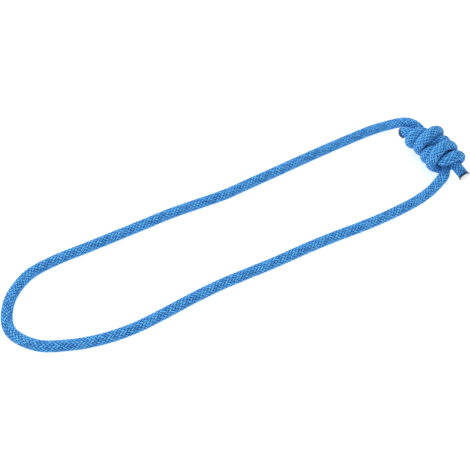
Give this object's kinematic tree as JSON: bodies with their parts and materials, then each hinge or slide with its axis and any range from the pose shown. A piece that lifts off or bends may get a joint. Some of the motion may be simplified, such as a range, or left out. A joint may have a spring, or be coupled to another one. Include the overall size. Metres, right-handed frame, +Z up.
{
  "type": "dynamic climbing rope sling",
  "caption": "Closed sling of round blue kernmantle climbing rope, tied with a double fisherman's bend, lying flat as a long loop with both cut ends heat-sealed.",
  "frame": {"origin": "on the ground, under the middle of the sling's bounding box", "axes": "+X along the loop towards the knot, +Y across the loop towards its far strand, +Z up from the ground it lies on"},
  "size_m": [0.4604, 0.107, 0.0394],
  "materials": {
    "sheath": "tightly braided polyamide yarn, satin sheen",
    "core": "undyed twisted polyamide strands",
    "tracer": "thin coloured marker yarn",
    "seal": "melted polyamide, smooth, pale face with a dark singed rim"
  },
  "bodies": {
    "root": {"loop_sheath": "sheath", "near_turns_sheath": "sheath", "far_turns_sheath": "sheath", "core_strand_1": "core", "core_strand_2": "core", "core_strand_3": "core", "core_strand_4": "core", "core_strand_5": "core", "core_strand_6": "core", "tracer_yarn": "tracer", "near_end_seal": "seal", "far_end_seal": "seal"}
  },
  "joints": []
}
